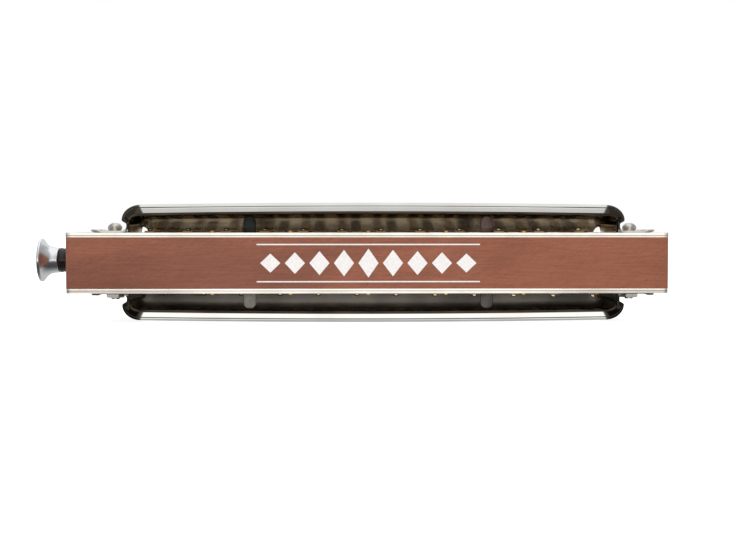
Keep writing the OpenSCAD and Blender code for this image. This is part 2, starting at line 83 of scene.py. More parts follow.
# ---- camera, stage and light ----
CAMERA_PLACE = (0.015, -309.25, 21.73)
CAMERA_YAW = math.radians(1.181)
CAMERA_PITCH = math.radians(1.914)
CAMERA_LENS = 62.23


def make_camera():
    data = bpy.data.cameras.new("camera")
    data.lens = CAMERA_LENS
    data.sensor_width = 36
    data.clip_start, data.clip_end = 0.01, 20
    camera = bpy.data.objects.new("camera", data)
    scene.collection.objects.link(camera)
    camera.location = Vector(CAMERA_PLACE) * MM
    forward = Vector(
        (
            math.sin(CAMERA_YAW) * math.cos(CAMERA_PITCH),
            math.cos(CAMERA_YAW) * math.cos(CAMERA_PITCH),
            -math.sin(CAMERA_PITCH),
        )
    )
    camera.rotation_mode = "QUATERNION"
    camera.rotation_quaternion = forward.to_track_quat("-Z", "Y")
    scene.camera = camera


def math_node(tree, operation, *values):
    """A Math node; each value is a number or an output."""
    node = tree.nodes.new("ShaderNodeMath")
    node.operation = operation
    for socket, value in zip(node.inputs, values):
        if isinstance(value, (int, float)):
            socket.default_value = value
        else:
            tree.links.new(value, socket)
    return node.outputs[0]


def smooth_step(tree, value, low, high, out_low=0.0, out_high=1.0):
    node = tree.nodes.new("ShaderNodeMapRange")
    node.interpolation_type = "SMOOTHSTEP"
    tree.links.new(value, node.inputs["Value"])
    node.inputs["From Min"].default_value = low
    node.inputs["From Max"].default_value = high
    node.inputs["To Min"].default_value = out_low
    node.inputs["To Max"].default_value = out_high
    return node.outputs["Result"]


def times(tree, *values):
    """The product of numbers and outputs."""
    product = values[0]
    for value in values[1:]:
        product = math_node(tree, "MULTIPLY", product, value)
    return product


def distance_from(tree, value, middle):
    """How far a value lies from a middle, either way."""
    return math_node(tree, "ABSOLUTE", math_node(tree, "SUBTRACT", value, middle))


def place_of(tree):
    """X, Y and Z of the shaded point in the row frame, in metres."""
    split = tree.nodes.new("ShaderNodeSeparateXYZ")
    tree.links.new(tree.nodes.new("ShaderNodeTexCoord").outputs["Object"], split.inputs[0])
    return split.outputs["X"], split.outputs["Y"], split.outputs["Z"]


def base_colour(material):
    """A material's tree, its Base Color socket and the output now linked to that."""
    tree = material.node_tree
    socket = tree.nodes["Principled BSDF"].inputs["Base Color"]
    return tree, socket, socket.links[0].from_socket


HORIZON_LIGHT = 0.3
CAMERA_SIDE_LIGHT = 0.95
TENT_LIGHT = 0.72
TOP_LIGHT = 1.02
LEAST_LIGHT = 0.03  # added to everything that metal mirrors
FLAG_SHARE = 0.55  # share of the tent's light that a flag takes away
# Where the flags fade in and out, in parts of a unit direction
FLAG_INNER, FLAG_OUTER = (0.235, 0.275), (0.93, 0.985)
FLAG_BACK, FLAG_HIGH = (0.56, 0.66), (0.86, 0.94)


def make_world():
    """A white tent; polished metal also mirrors its dim far horizon and two dark flags."""
    world = bpy.data.worlds.new("studio")
    scene.world = world
    world.use_nodes = True
    tree = world.node_tree
    background = tree.nodes["Background"]
    direction = tree.nodes.new("ShaderNodeTexCoord").outputs["Generated"]
    split = tree.nodes.new("ShaderNodeSeparateXYZ")
    tree.links.new(direction, split.inputs[0])
    across = math_node(tree, "ABSOLUTE", split.outputs["X"])
    along, up = split.outputs["Y"], split.outputs["Z"]

    low = smooth_step(tree, along, -0.9, -0.7, CAMERA_SIDE_LIGHT, HORIZON_LIGHT)
    rise = smooth_step(tree, up, 0.08, 0.2)
    fall = math_node(tree, "SUBTRACT", 1.0, rise)
    tent = math_node(tree, "ADD", times(tree, low, fall), times(tree, TENT_LIGHT, rise))
    top = smooth_step(tree, up, 0.5, 0.8, 0.0, TOP_LIGHT - TENT_LIGHT)
    tent = math_node(tree, "ADD", tent, top)

    # Near the horizon the flags start further out, clear of what the reed plates mirror
    set_back = smooth_step(tree, up, 0.06, 0.14, 0.1, 0.0)
    flag = times(
        tree,
        smooth_step(tree, math_node(tree, "SUBTRACT", across, set_back), *FLAG_INNER),
        smooth_step(tree, across, *FLAG_OUTER, 1, 0),
        smooth_step(tree, along, *FLAG_BACK, 1, 0),
        smooth_step(tree, up, *FLAG_HIGH, 1, 0),
    )
    uncovered = math_node(tree, "SUBTRACT", 1.0, times(tree, flag, FLAG_SHARE))
    mirrored = math_node(tree, "ADD", times(tree, tent, uncovered), LEAST_LIGHT)
    glossy = tree.nodes.new("ShaderNodeLightPath").outputs["Is Glossy Ray"]
    plain = math_node(tree, "SUBTRACT", 1.0, glossy)
    strength = math_node(tree, "ADD", times(tree, mirrored, glossy), plain)
    tree.links.new(strength, background.inputs["Strength"])
    background.inputs["Color"].default_value = (1, 1, 1, 1)


def srgb(red, green, blue):
    """0-255 display values as a linear colour."""
    out = []
    for c in (red, green, blue):
        c /= 255
        out.append(c / 12.92 if c <= 0.04045 else ((c + 0.055) / 1.055) ** 2.4)
    return (*out, 1.0)


def new_material(name, colour, metallic, roughness):
    material = bpy.data.materials.new(name)
    material.use_nodes = True
    tree = material.node_tree
    shader = tree.nodes["Principled BSDF"]
    shader.inputs["Base Color"].default_value = colour
    shader.inputs["Metallic"].default_value = metallic
    shader.inputs["Roughness"].default_value = roughness
    return material, tree, shader


def noise(tree, scale, stretch=(1, 1, 1), detail=3.0, distortion=0.0, turn=0.0):
    """Noise in the row frame, turned about Y; scale is in features per metre."""
    coordinates = tree.nodes.new("ShaderNodeTexCoord")
    mapping = tree.nodes.new("ShaderNodeMapping")
    mapping.vector_type = "TEXTURE"
    mapping.inputs["Rotation"].default_value = (0, turn, 0)
    mapping.inputs["Scale"].default_value = [1 / factor for factor in stretch]
    texture = tree.nodes.new("ShaderNodeTexNoise")
    texture.inputs["Scale"].default_value = scale
    texture.inputs["Detail"].default_value = detail
    texture.inputs["Distortion"].default_value = distortion
    tree.links.new(coordinates.outputs["Object"], mapping.inputs["Vector"])
    tree.links.new(mapping.outputs["Vector"], texture.inputs["Vector"])
    return texture.outputs["Fac"]


def ramp(tree, value, *stops):
    """A colour ramp through (position, colour) stops."""
    node = tree.nodes.new("ShaderNodeValToRGB")
    elements = node.color_ramp.elements
    while len(elements) < len(stops):
        elements.new(0.5)
    for element, (position, colour) in zip(elements, stops):
        element.position = position
        element.color = colour
    tree.links.new(value, node.inputs["Fac"])
    return node.outputs["Color"]


def mix_colour(tree, factor, first, second, blend="MIX"):
    """Mixes two colours; each value is a colour, a number or an output."""
    node = tree.nodes.new("ShaderNodeMix")
    node.data_type = "RGBA"
    node.blend_type = blend
    for socket, value in ((node.inputs[0], factor), (node.inputs[6], first), (node.inputs[7], second)):
        if isinstance(value, (int, float, tuple)):
            socket.default_value = value
        else:
            tree.links.new(value, socket)
    return node.outputs[2]


def add_bump(tree, shader, height, strength, depth_mm):
    """Lets a height output bump a shader's surface."""
    node = tree.nodes.new("ShaderNodeBump")
    node.inputs["Strength"].default_value = strength
    node.inputs["Distance"].default_value = depth_mm * MM
    tree.links.new(height, node.inputs["Height"])
    tree.links.new(node.outputs["Normal"], shader.inputs["Normal"])


def metal(name, roof_shade, bright, roughness, brushed=(1, 1, 1), scale=900, spread=0.08, bump=0.05):
    """Metal whose colour, roughness and surface vary a little, along the brushing if it has any."""
    material, tree, shader = new_material(name, bright, 1.0, roughness)
    broad = noise(tree, scale * 0.12, (1, 1, 1), 3)
    fine = noise(tree, scale, brushed, 4)
    tree.links.new(ramp(tree, broad, (0.3, roof_shade), (0.72, bright)), shader.inputs["Base Color"])
    worn = smooth_step(tree, fine, 0.25, 0.8, max(roughness - spread / 2, 0.02), roughness + spread)
    tree.links.new(worn, shader.inputs["Roughness"])
    add_bump(tree, shader, fine, bump, 0.01)
    return material


NO_STAIN = srgb(255, 255, 255)
FLECK_SLANT = -0.6


def wood_material():
    """Stained pearwood: fibres and pores along the comb, slanted flecks, and slow bands of colour."""
    material, tree, shader = new_material("pearwood", srgb(150, 90, 65), 0.0, 0.5)
    bands = noise(tree, 75, (0.3, 1, 1), 5, 1.2)
    fibres = noise(tree, 3000, (0.05, 1, 1), 5)
    pores = noise(tree, 6500, (0.12, 1, 1), 2)
    colour = ramp(
        tree, bands, (0.28, srgb(128, 70, 44)), (0.5, srgb(145, 81, 52)), (0.74, srgb(160, 92, 60))
    )
    streaks = ramp(tree, fibres, (0.34, srgb(206, 198, 194)), (0.62, NO_STAIN))
    colour = mix_colour(tree, 0.36, colour, streaks, "MULTIPLY")
    specks = ramp(tree, pores, (0.3, srgb(196, 182, 174)), (0.42, NO_STAIN))
    colour = mix_colour(tree, 0.6, colour, specks, "MULTIPLY")
    flecks = noise(tree, 2600, (0.12, 1, 1), 3, turn=FLECK_SLANT)
    glints = ramp(tree, flecks, (0.36, srgb(236, 230, 226)), (0.6, NO_STAIN))
    colour = mix_colour(tree, 0.6, colour, glints, "MULTIPLY")
    # The wood is a little darker and bluer towards the comb's left end
    along = smooth_step(tree, place_of(tree)[0], comb_lo.x * MM, comb_hi.x * MM)
    along_tint = ramp(tree, along, (0.0, srgb(233, 236, 249)), (1.0, srgb(243, 244, 247)))
    colour = mix_colour(tree, 1.0, colour, along_tint, "MULTIPLY")
    tree.links.new(colour, shader.inputs["Base Color"])
    tree.links.new(smooth_step(tree, fibres, 0.3, 0.7, 0.6, 0.44), shader.inputs["Roughness"])
    add_bump(tree, shader, fibres, 0.25, 0.03)
    return material


def film_material(name, low, high, roughness, scale, bump):
    """Dull plastics, rubber and print: a speckle in colour and gloss."""
    material, tree, shader = new_material(name, high, 0.0, roughness)
    speckle = noise(tree, scale, (1, 1, 1), 4)
    tree.links.new(ramp(tree, speckle, (0.3, low), (0.7, high)), shader.inputs["Base Color"])
    gloss = smooth_step(tree, speckle, 0.3, 0.7, roughness * 0.85, min(roughness * 1.2, 1))
    tree.links.new(gloss, shader.inputs["Roughness"])
    add_bump(tree, shader, speckle, bump, 0.02)
    return material


WOOD = wood_material()
PLATE = metal(
    "plate_brass", srgb(236, 229, 217), srgb(252, 248, 241), 0.13, ALONG_X, 2400, spread=0.04, bump=0.02
)
PLATE_LINE = 0.6  # from the line on a plate's edge to the plate's outer face
LINE_CORE, LINE_EDGE = 0.04, 0.13  # half widths of the line, full and faded out
STRIP_FADE = 0.1  # half of the blend between a strip in painted shade and a bright one


def score_and_shade_plates():
    """A fine line runs along the reed plates' edges; the strip above it is the brighter one, and the
    strip below it is darkened as painted shade.
    """
    tree, socket, colour = base_colour(PLATE)
    level = math_node(tree, "SUBTRACT", place_of(tree)[2], mid_z * MM)
    line_z, soft = (cover_base - PLATE_LINE) * MM, STRIP_FADE * MM
    over_upper_line = smooth_step(tree, level, line_z - soft, line_z + soft)
    over_lower_line = smooth_step(tree, level, -line_z - soft, -line_z + soft)
    lower_half = smooth_step(tree, level, 0, MM, 1, 0)
    lit = math_node(tree, "ADD", over_upper_line, times(tree, over_lower_line, lower_half))
    # Painted shade darkens the lower strip of each plate's edge
    shaded = mix_colour(tree, 1.0, colour, srgb(232, 230, 226), "MULTIPLY")
    colour = mix_colour(tree, lit, shaded, colour)
    off_line = distance_from(tree, math_node(tree, "ABSOLUTE", level), line_z)
    line = smooth_step(tree, off_line, LINE_CORE * MM, LINE_EDGE * MM, 1, 0)
    tree.links.new(mix_colour(tree, line, colour, srgb(152, 147, 138)), socket)


CHROME = metal(
    "cover_chrome", srgb(216, 214, 209), srgb(229, 228, 224), 0.07, scale=700, spread=0.03, bump=0.02
)
CORNER_REFLECTION_SLANT = 0.5  # how far the painted dark reflection reaches in for each millimetre down the rim


def paint_corner_reflections():
    """The rims' outer corners are darker than the rest of the covers: a painted dark reflection."""
    tree, socket, colour = base_colour(CHROME)
    x, y, z = place_of(tree)
    from_middle = distance_from(tree, x, cover_x * MM)
    height = distance_from(tree, z, mid_z * MM)
    down = math_node(tree, "SUBTRACT", cover_top * MM, height)
    slanted = math_node(tree, "ADD", from_middle, times(tree, down, CORNER_REFLECTION_SLANT))
    edge = COVER_HALF - CORNER_X
    corner_reflection = times(
        tree,
        smooth_step(tree, slanted, (edge + 0.2) * MM, (edge + 0.8) * MM),
        smooth_step(tree, from_middle, (COVER_HALF + 0.5) * MM, (COVER_HALF + 0.8) * MM, 1, 0),
        smooth_step(tree, y, (rim_y + 0.9) * MM, (rim_y + 1.7) * MM, 1, 0),
        smooth_step(tree, height, (cover_base + 0.5) * MM, (cover_base + 0.9) * MM),
    )
    # Painted dark reflection on the corners
    reflection_dark = mix_colour(tree, 1.0, colour, srgb(92, 88, 82), "MULTIPLY")
    tree.links.new(mix_colour(tree, corner_reflection, colour, reflection_dark), socket)


INSIDE = metal(
    "cover_inside", srgb(214, 196, 168), srgb(250, 232, 205), 0.17, ALONG_X, 520, spread=0.06, bump=0.9
)
SHADE_FROM, SHADE_TO = 1.9, 3.0  # heights over the plate between which painted shade darkens the skin


def shade_inside_roof():
    """The upper cover's inner skin is darker under the roof than low on the front wall: painted shade."""
    tree, socket, colour = base_colour(INSIDE)
    rise = math_node(tree, "SUBTRACT", place_of(tree)[2], (mid_z + cover_base) * MM)
    roof = smooth_step(tree, rise, SHADE_FROM * MM, SHADE_TO * MM)
    # Painted shade under the roof
    roof_shade = mix_colour(tree, 1.0, colour, srgb(160, 154, 146), "MULTIPLY")
    tree.links.new(mix_colour(tree, roof, colour, roof_shade), socket)


score_and_shade_plates()
paint_corner_reflections()
shade_inside_roof()
# The lower cover's inner skin is a darker, greyer copy of the upper one's: painted shade
LOWER_INSIDE = metal(
    "lower_cover_inside", srgb(140, 134, 128), srgb(180, 172, 164), 0.44, (0.03, 1, 1), 620,
    spread=0.06, bump=0.9,
)
# The rim's curl and crease get a dark copy of the chrome: painted shade
RIM_SHADE = metal("rim_curl", srgb(52, 45, 38), srgb(84, 75, 64), 0.16, ALONG_X, 900)
REED = metal("reed_brass", srgb(112, 94, 66), srgb(150, 128, 92), 0.3, (1, 0.05, 1), 3000)
RIVET = metal("rivet_metal", srgb(188, 172, 148), srgb(222, 210, 188), 0.2, scale=2500)
NAIL = metal("nail_brass", srgb(190, 150, 78), srgb(216, 180, 108), 0.28, scale=2500)
SCREW = metal("screw_nickel", srgb(205, 201, 192), srgb(226, 222, 212), 0.16, scale=2600)
SLIDE = metal("slide_steel", srgb(192, 189, 181), srgb(212, 209, 201), 0.24, ALONG_X, 2400)
WIRE = metal("spring_wire", srgb(150, 146, 138), srgb(188, 184, 175), 0.3, scale=3200)
BUTTON = metal(
    "button_chrome", srgb(226, 229, 234), srgb(250, 252, 254), 0.24, scale=900, spread=0.03, bump=0.02
)
VALVE = film_material("valve_film", srgb(198, 193, 178), srgb(224, 220, 206), 0.5, 1800, 0.1)
RUBBER = film_material("bumper_rubber", srgb(20, 12, 11), srgb(36, 25, 23), 0.22, 2600, 0.15)
PRINT = film_material("white_print", srgb(214, 209, 206), srgb(232, 229, 227), 0.6, 3600, 0.2)
# Each support's colour is a painted reflection, so each has a tone of its own
SUPPORT_REFLECTIONS = {
    name + "_support": metal(name + "_support_painted_reflection", srgb(*roof_shade), srgb(*bright), 0.3, (1, 1, 0.2), 2600)
    for name, roof_shade, bright in (
        ("upper_left", (40, 41, 39), (59, 59, 56)),
        ("upper_right", (88, 71, 66), (115, 98, 91)),
        ("lower_left", (99, 97, 90), (128, 125, 118)),
        ("lower_right", (62, 60, 56), (86, 83, 78)),
    )
}


FLOOR_GLOW = 0.78
FLOOR_REACH, FLOOR_DROP = 3.0, 0.0002
CARD_FADE = 2.0  # from the white card's side to the full black of its neighbour
# What polished metal sees in the floor, and what the white, far and black cards add or take
MIRRORED_FLOOR, WHITE_CARD, FAR_CARD, BLACK_CARD = 0.55, 0.85, 1.0, 0.51


def make_floor():
    """A plain white floor, in whose place polished metal mirrors white and black cards.

    A white card lies straight in front of the covers, black ones beside it, and white ones again
    further out in front.
    """
    material, tree, shader = new_material("floor_white", srgb(236, 236, 236), 0.0, 0.9)
    shader.inputs["Emission Color"].default_value = (1, 1, 1, 1)
    shader.inputs["Emission Strength"].default_value = FLOOR_GLOW
    tree.links.new(
        ramp(tree, noise(tree, 6), (0.3, srgb(232, 232, 232)), (0.7, srgb(240, 240, 240))),
        shader.inputs["Base Color"],
    )
    x, y, _ = place_of(tree)
    from_middle = distance_from(tree, x, cover_x * MM)
    edge = (COVER_HALF - CORNER_X) * MM
    beyond = smooth_step(tree, from_middle, edge, edge + CARD_FADE * MM)
    between = smooth_step(tree, from_middle, edge, edge + CARD_FADE * MM, 1, 0)
    in_front = smooth_step(tree, y, (rim_y - 0.9) * MM, (rim_y - 0.1) * MM, 1, 0)
    far = smooth_step(tree, y, -200 * MM, -100 * MM, 1, 0)
    near = math_node(tree, "SUBTRACT", 1.0, far)
    camera_side = smooth_step(tree, y, 0.0, 20 * MM, 1, 0)
    close_by = smooth_step(tree, from_middle, 180 * MM, 240 * MM, 1, 0)
    level = math_node(tree, "ADD", MIRRORED_FLOOR, times(tree, in_front, between, WHITE_CARD))
    level = math_node(tree, "ADD", level, times(tree, far, beyond, FAR_CARD))
    black = times(tree, beyond, close_by, camera_side, near, BLACK_CARD)
    level = math_node(tree, "SUBTRACT", level, black)
    card = tree.nodes.new("ShaderNodeEmission")
    tree.links.new(level, card.inputs["Strength"])
    chosen = tree.nodes.new("ShaderNodeMixShader")
    tree.links.new(tree.nodes.new("ShaderNodeLightPath").outputs["Is Glossy Ray"], chosen.inputs[0])
    tree.links.new(shader.outputs[0], chosen.inputs[1])
    tree.links.new(card.outputs[0], chosen.inputs[2])
    tree.links.new(chosen.outputs[0], tree.nodes["Material Output"].inputs["Surface"])
    mesh = bpy.data.meshes.new("floor")
    corners = [(-1, -1), (1, -1), (1, 1), (-1, 1)]
    points = [(FLOOR_REACH * side, FLOOR_REACH * end, -FLOOR_DROP) for side, end in corners]
    mesh.from_pydata(points, [], [(0, 1, 2, 3)])
    mesh.materials.append(material)
    floor = bpy.data.objects.new("floor", mesh)
    scene.collection.objects.link(floor)


# ---- mesh helpers ----
WELD, TINY_EDGE = 0.002, 0.001


def finish_piece(name, bm, material, body, replaced):
    """Turns a bmesh in millimetres into a piece that rides on a body."""
    bmesh.ops.remove_doubles(bm, verts=bm.verts, dist=WELD)
    bmesh.ops.dissolve_degenerate(bm, dist=TINY_EDGE, edges=bm.edges)
    bmesh.ops.recalc_face_normals(bm, faces=bm.faces)
    bmesh.ops.scale(bm, vec=(MM, MM, MM), verts=bm.verts)
    mesh = bpy.data.meshes.new(name)
    bm.to_mesh(mesh)
    bm.free()
    mesh.shade_smooth()
    mesh.materials.append(material)
    piece = bpy.data.objects.new(name, mesh)
    scene.collection.objects.link(piece)
    if body:
        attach(piece, body)
    if replaced:
        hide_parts(*replaced)
    return piece


def add_sheet(bm, front, back, shaded_columns=()):
    """A closed sheet between two grids; its inner skin is material 1, its columns in painted shade 2."""
    rows, columns = len(front), len(front[0])
    outer, inner = ([[bm.verts.new(p) for p in row] for row in grid] for grid in (front, back))

    def face(*corners, slot=0):
        bm.faces.new(corners).material_index = slot

    for i in range(rows - 1):
        for k in range(columns - 1):
            skin = 2 if k in shaded_columns else 0
            face(outer[i][k], outer[i][k + 1], outer[i + 1][k + 1], outer[i + 1][k], slot=skin)
            face(inner[i][k], inner[i + 1][k], inner[i + 1][k + 1], inner[i][k + 1], slot=1)
    for i in range(rows - 1):
        for k in (0, columns - 1):
            face(outer[i][k], outer[i + 1][k], inner[i + 1][k], inner[i][k])
    for k in range(columns - 1):
        for i in (0, rows - 1):
            face(outer[i][k], outer[i][k + 1], inner[i][k + 1], inner[i][k])


ON_AXIS = 0.001  # radius that closes a lathed shape in place of a point


def add_lathe(bm, profile, centre, axis, segments=96):
    """Turns (distance along the axis, radius) points about an axis: 'X', 'Y' or 'Z'."""
    rings = []
    for along, radius in profile:
        ring = []
        for k in range(segments):
            a = 2 * math.pi * k / segments
            c, s = radius * math.cos(a), radius * math.sin(a)
            offset = {"X": (along, c, s), "Y": (s, along, c), "Z": (c, s, along)}[axis]
            ring.append(bm.verts.new(Vector(centre) + Vector(offset)))
        rings.append(ring)
    for first, second in zip(rings, rings[1:]):
        for k in range(segments):
            n = (k + 1) % segments
            bm.faces.new((first[k], first[n], second[n], second[k]))
    bm.faces.new(rings[0])
    bm.faces.new(list(reversed(rings[-1])))


def smooth_points(points, steps):
    """A Catmull-Rom curve through points."""
    out = []
    padded = [points[0], *points, points[-1]]
    for p0, p1, p2, p3 in zip(padded, padded[1:], padded[2:], padded[3:]):
        for step in range(steps):
            t = step / steps
            out.append(
                tuple(
                    0.5 * (2 * b + (c - a) * t + (2 * a - 5 * b + 4 * c - d) * t * t
                           + (3 * b - a - 3 * c + d) * t ** 3)
                    for a, b, c, d in zip(p0, p1, p2, p3)
                )
            )
    out.append(tuple(points[-1]))
    return out


# ---- covers ----
CROWN = 0.45
NECK_IN = 1.1
NECK_RISE = 1.9
SHEET = 0.4
FRONT_R = 3.9
FRONT_LEAN = 0.45
PLAN_R = 4.5
RIM_SIDE_SHARE = 0.87
RIM_NECK_SHARE = 0.3
RELIEF_R = 1.8
RELIEF_SUNK = 0.4
FOOT_GAP = 0.02

# Rim section from the roof round to the free edge: (distance in front of the rim's face, depth
# below the roof). The face leans back a little, and a fine crease parts it from the bend.
RIM_SECTION = [
    (1.15, 0.0), (0.85, 0.05), (0.6, 0.17), (0.42, 0.36), (0.33, 0.54), (0.31, 0.66), (0.41, 0.73),
    (0.28, 0.83), (0.2, 1.1), (0.13, 1.4), (0.07, 1.7), (0.02, 1.95), (0.0, 2.05), (0.02, 2.16),
    (0.1, 2.36), (0.25, 2.55), (0.46, 2.68), (0.7, 2.72), (0.92, 2.64), (1.02, 2.46),
]
# Strips between the sheet's columns in painted shade: the curl at the free edge, and the crease
SHADED_COLUMNS = (*range(8), 12, 13)


def cover_outline():
    """(x, z, share of the rim's depth) from the right foot over the crown to the left foot."""
    bulge_z = cover_top - CROWN - CORNER_Z
    neck_z = cover_base + NECK_RISE
    half = [(COVER_HALF - NECK_IN, cover_base + NECK_RISE * k / 4, RIM_NECK_SHARE) for k in range(4)]
    for k in range(11):
        t = k / 10
        x = COVER_HALF - NECK_IN * (1 + math.cos(math.pi * t)) / 2
        share = RIM_NECK_SHARE + (RIM_SIDE_SHARE - RIM_NECK_SHARE) * math.sin(math.pi / 2 * t)
        half.append((x, neck_z + (bulge_z - neck_z) * t, share))
    for k in range(1, 19):
        a = math.pi / 2 * k / 18
        share = RIM_SIDE_SHARE + (1 - RIM_SIDE_SHARE) * math.sin(a) ** 2
        half.append(
            (COVER_HALF - CORNER_X + CORNER_X * math.cos(a), bulge_z + CORNER_Z * math.sin(a), share)
        )
    flat_x = COVER_HALF - CORNER_X
    for k in range(1, 25):
        x = flat_x * (1 - k / 24)
        half.append((x, cover_top - CROWN * (x / flat_x) ** 2, 1.0))
    return half + [(-x, z, s) for x, z, s in reversed(half[:-1])]


def inward_normals(points):
    """Unit normals of an outline, pointing into the cover."""
    out = []
    for k in range(len(points)):
        a, b = points[max(k - 1, 0)], points[min(k + 1, len(points) - 1)]
        dx, dz = b[0] - a[0], b[1] - a[1]
        length = math.hypot(dx, dz)
        out.append((-dz / length, dx / length))
    return out


def roof_section():
    """(y, share of the height) from behind the rim over the front bend to the front foot."""
    height = cover_top - cover_base
    start = cover_front - FRONT_LEAN - FRONT_R
    rim_back = rim_y + RIM_SECTION[0][0]
    points = [(rim_back + (start - rim_back) * k / 14, 1.0) for k in range(1, 15)]
    for k in range(1, 17):
        a = math.pi / 2 * (1 - k / 16)
        drop = FRONT_R * (1 - math.sin(a))
        points.append((start + FRONT_R * math.cos(a), 1 - drop / height))
    share = 1 - FRONT_R / height
    points += [
        (cover_front - FRONT_LEAN * (1 - k / 6), share * (1 - k / 6)) for k in range(1, 7)
    ]
    return points


def round_plan(x, y, shrink):
    """Rounds the plan's front corners; returns the point and its distance from the corner's middle."""
    reach = PLAN_R
    x0, y0 = COVER_HALF - reach, cover_front - reach
    a, b = (abs(x) - x0) / reach, (y - y0) / reach
    if a > 0 and b > 0:
        a, b = min(a, 1), min(b, 1)
        ra, rb = a * math.sqrt(1 - b * b / 2), b * math.sqrt(1 - a * a / 2)
        size = reach - shrink if max(a, b) > 0.999 else reach
        away = reach * abs(math.atan2(rb, ra) - math.pi / 4)
        return math.copysign(x0 + ra * size, x), y0 + rb * size, away
    return x, y, reach * math.pi / 4 + abs(min(a, b)) * reach


def cover_grid(inset):
    """Points of the cover's skin, moved inwards by inset."""
    outline = cover_outline()
    normals = inward_normals(outline)
    section = roof_section()
    height = cover_top - cover_base
    rim_normals = []
    for k in range(len(RIM_SECTION)):
        y0, d0 = RIM_SECTION[max(k - 1, 0)]
        y1, d1 = RIM_SECTION[min(k + 1, len(RIM_SECTION) - 1)]
        length = math.hypot(y1 - y0, d1 - d0)
        rim_normals.append(((d1 - d0) / length, -(y1 - y0) / length))
    rows = []
    for (x, z, share), (nx, nz) in zip(outline, normals):
        row = []
        for (y, depth), (ny, nd) in reversed(list(zip(RIM_SECTION, rim_normals))):
            into = depth * (share if depth > 0.2 else 1 - (1 - share) * depth / 0.2) + inset * nd
            row.append((x + nx * into, rim_y + y + inset * ny, max(z + nz * into, cover_base + FOOT_GAP)))
        for k, (y, g) in enumerate(section):
            ahead = section[min(k + 1, len(section) - 1)]
            before = section[max(k - 1, 0)]
            dy, dz = ahead[0] - before[0], (ahead[1] - before[1]) * height
            length = math.hypot(dy, dz)
            sy, sz = dz / length, -dy / length
            level = cover_base + (z - cover_base) * g
            px, py = x + nx * inset, y + sy * inset
            pz = level + min(nz, 0) * inset * abs(sz)
            px, py, away = round_plan(px, py, inset)
            if away < RELIEF_R:
                lift = max(math.sqrt(RELIEF_R ** 2 - away ** 2) - RELIEF_SUNK, 0)
                pz += lift * max(1 - (pz - cover_base) / height, 0) ** 2
            row.append((px, py, max(pz, cover_base + FOOT_GAP)))
        rows.append(row)
    return rows


TAB_SECTION = [
    (-1.15, 1.5), (-1.0, 1.1), (-0.75, 0.75), (-0.35, 0.54), (0.2, 0.45), (2.5, 0.43), (5.0, 0.43),
    (7.4, 0.44), (8.2, 0.52), (8.9, 0.72),
]


def tab_grids(side, screw_y, inset):
    """A cover's end tab: filleted to the wall, rounded outside, its tip turned up a little."""
    depth, r = 16.0, 2.0
    reach = tab_half - COVER_HALF
    rows = []
    for k in range(41):
        y = -depth / 2 + depth * k / 40
        over = max(abs(y) - (depth / 2 - r), 0)
        shorter = r - math.sqrt(max(r * r - over * over, 0))
        row = []
        for along, rise in smooth_points(TAB_SECTION, 3):
            x = along if along < 0 else along * (reach - shorter) / TAB_SECTION[-1][0]
            row.append(
                (side * (COVER_HALF + x - (inset if along < 0 else 0) * 0.6), screw_y + y,
                 cover_base + max(rise - inset, 0.03))
            )
        rows.append(row)
    return rows


def make_cover(name, deck, inside):
    bm = bmesh.new()
    screw_lo, screw_hi = box_mm("cover_screws")
    screw_y = (screw_lo.y + screw_hi.y) / 2

    def placed(grid):
        return [[(cover_x + x, y, mid_z + deck * z) for x, y, z in row] for row in grid]

    add_sheet(bm, placed(cover_grid(0)), placed(cover_grid(SHEET)), SHADED_COLUMNS)
    for side in (-1, 1):
        add_sheet(bm, placed(tab_grids(side, screw_y, 0)), placed(tab_grids(side, screw_y, SHEET)))
    shell = finish_piece(name + "_shell", bm, CHROME, "body", [name])
    shell.data.materials.append(inside)
    shell.data.materials.append(RIM_SHADE)
    return shell


# ---- button, bumper, spring ----
BUTTON_PROFILE = [
    (0.42, 0.0), (0.4, 1.0), (0.3, 2.4), (0.14, 3.7), (0.02, 4.7), (0.0, 4.95), (0.06, 5.2),
    (0.22, 5.36), (0.45, 5.4), (0.68, 5.33), (0.88, 5.12), (1.15, 4.72), (1.6, 4.2), (2.1, 3.78),
    (2.7, 3.45), (3.4, 3.26), (4.1, 3.2), (4.5, 3.2), (4.72, 3.12), (4.8, 2.9), (4.8, 0.0),
]


def make_button():
    lo, hi = box_mm("button")
    centre = (lo.x, (lo.y + hi.y) / 2, (lo.z + hi.z) / 2)
    widest = (hi.z - lo.z) / 2
    bm = bmesh.new()
    profile = smooth_points(BUTTON_PROFILE[:-2], 3) + BUTTON_PROFILE[-2:]
    profile = [(max(x, 0), min(max(r, ON_AXIS), widest)) for x, r in profile]
    add_lathe(bm, profile, centre, "X", 128)
    return finish_piece("button_flare", bm, BUTTON, "slider", ["button"])


def make_bumper():
    lo, hi = box_mm("bumper")
    button_hi = box_mm("button")[1]
    length = hi.x - button_hi.x
    r = (hi.z - lo.z) / 2
    centre = (button_hi.x, (lo.y + hi.y) / 2, (lo.z + hi.z) / 2)
    bm = bmesh.new()
    profile = [(0.0, ON_AXIS), (0.0, r - 0.5), (0.08, r - 0.25), (0.25, r - 0.08), (0.45, r)]
    for k in range(1, 8):
        t = k / 8
        profile.append((0.45 + (length - 0.9) * t, r - 0.16 * math.sin(math.pi * t)))
    profile += [(length - 0.45, r), (length - 0.25, r - 0.08), (length - 0.08, r - 0.25),
                (length, r - 0.5), (length, ON_AXIS)]
    add_lathe(bm, profile, centre, "X", 96)
    return finish_piece("bumper_ring", bm, RUBBER, "slider", ["bumper"])


# ---- return spring: two and a half coils in the comb's pocket, its tip hooked through the slide ----
COIL_R, WIRE_R, COIL_TURNS, COIL_STEPS = 1.7, 0.3, 2.5, 60
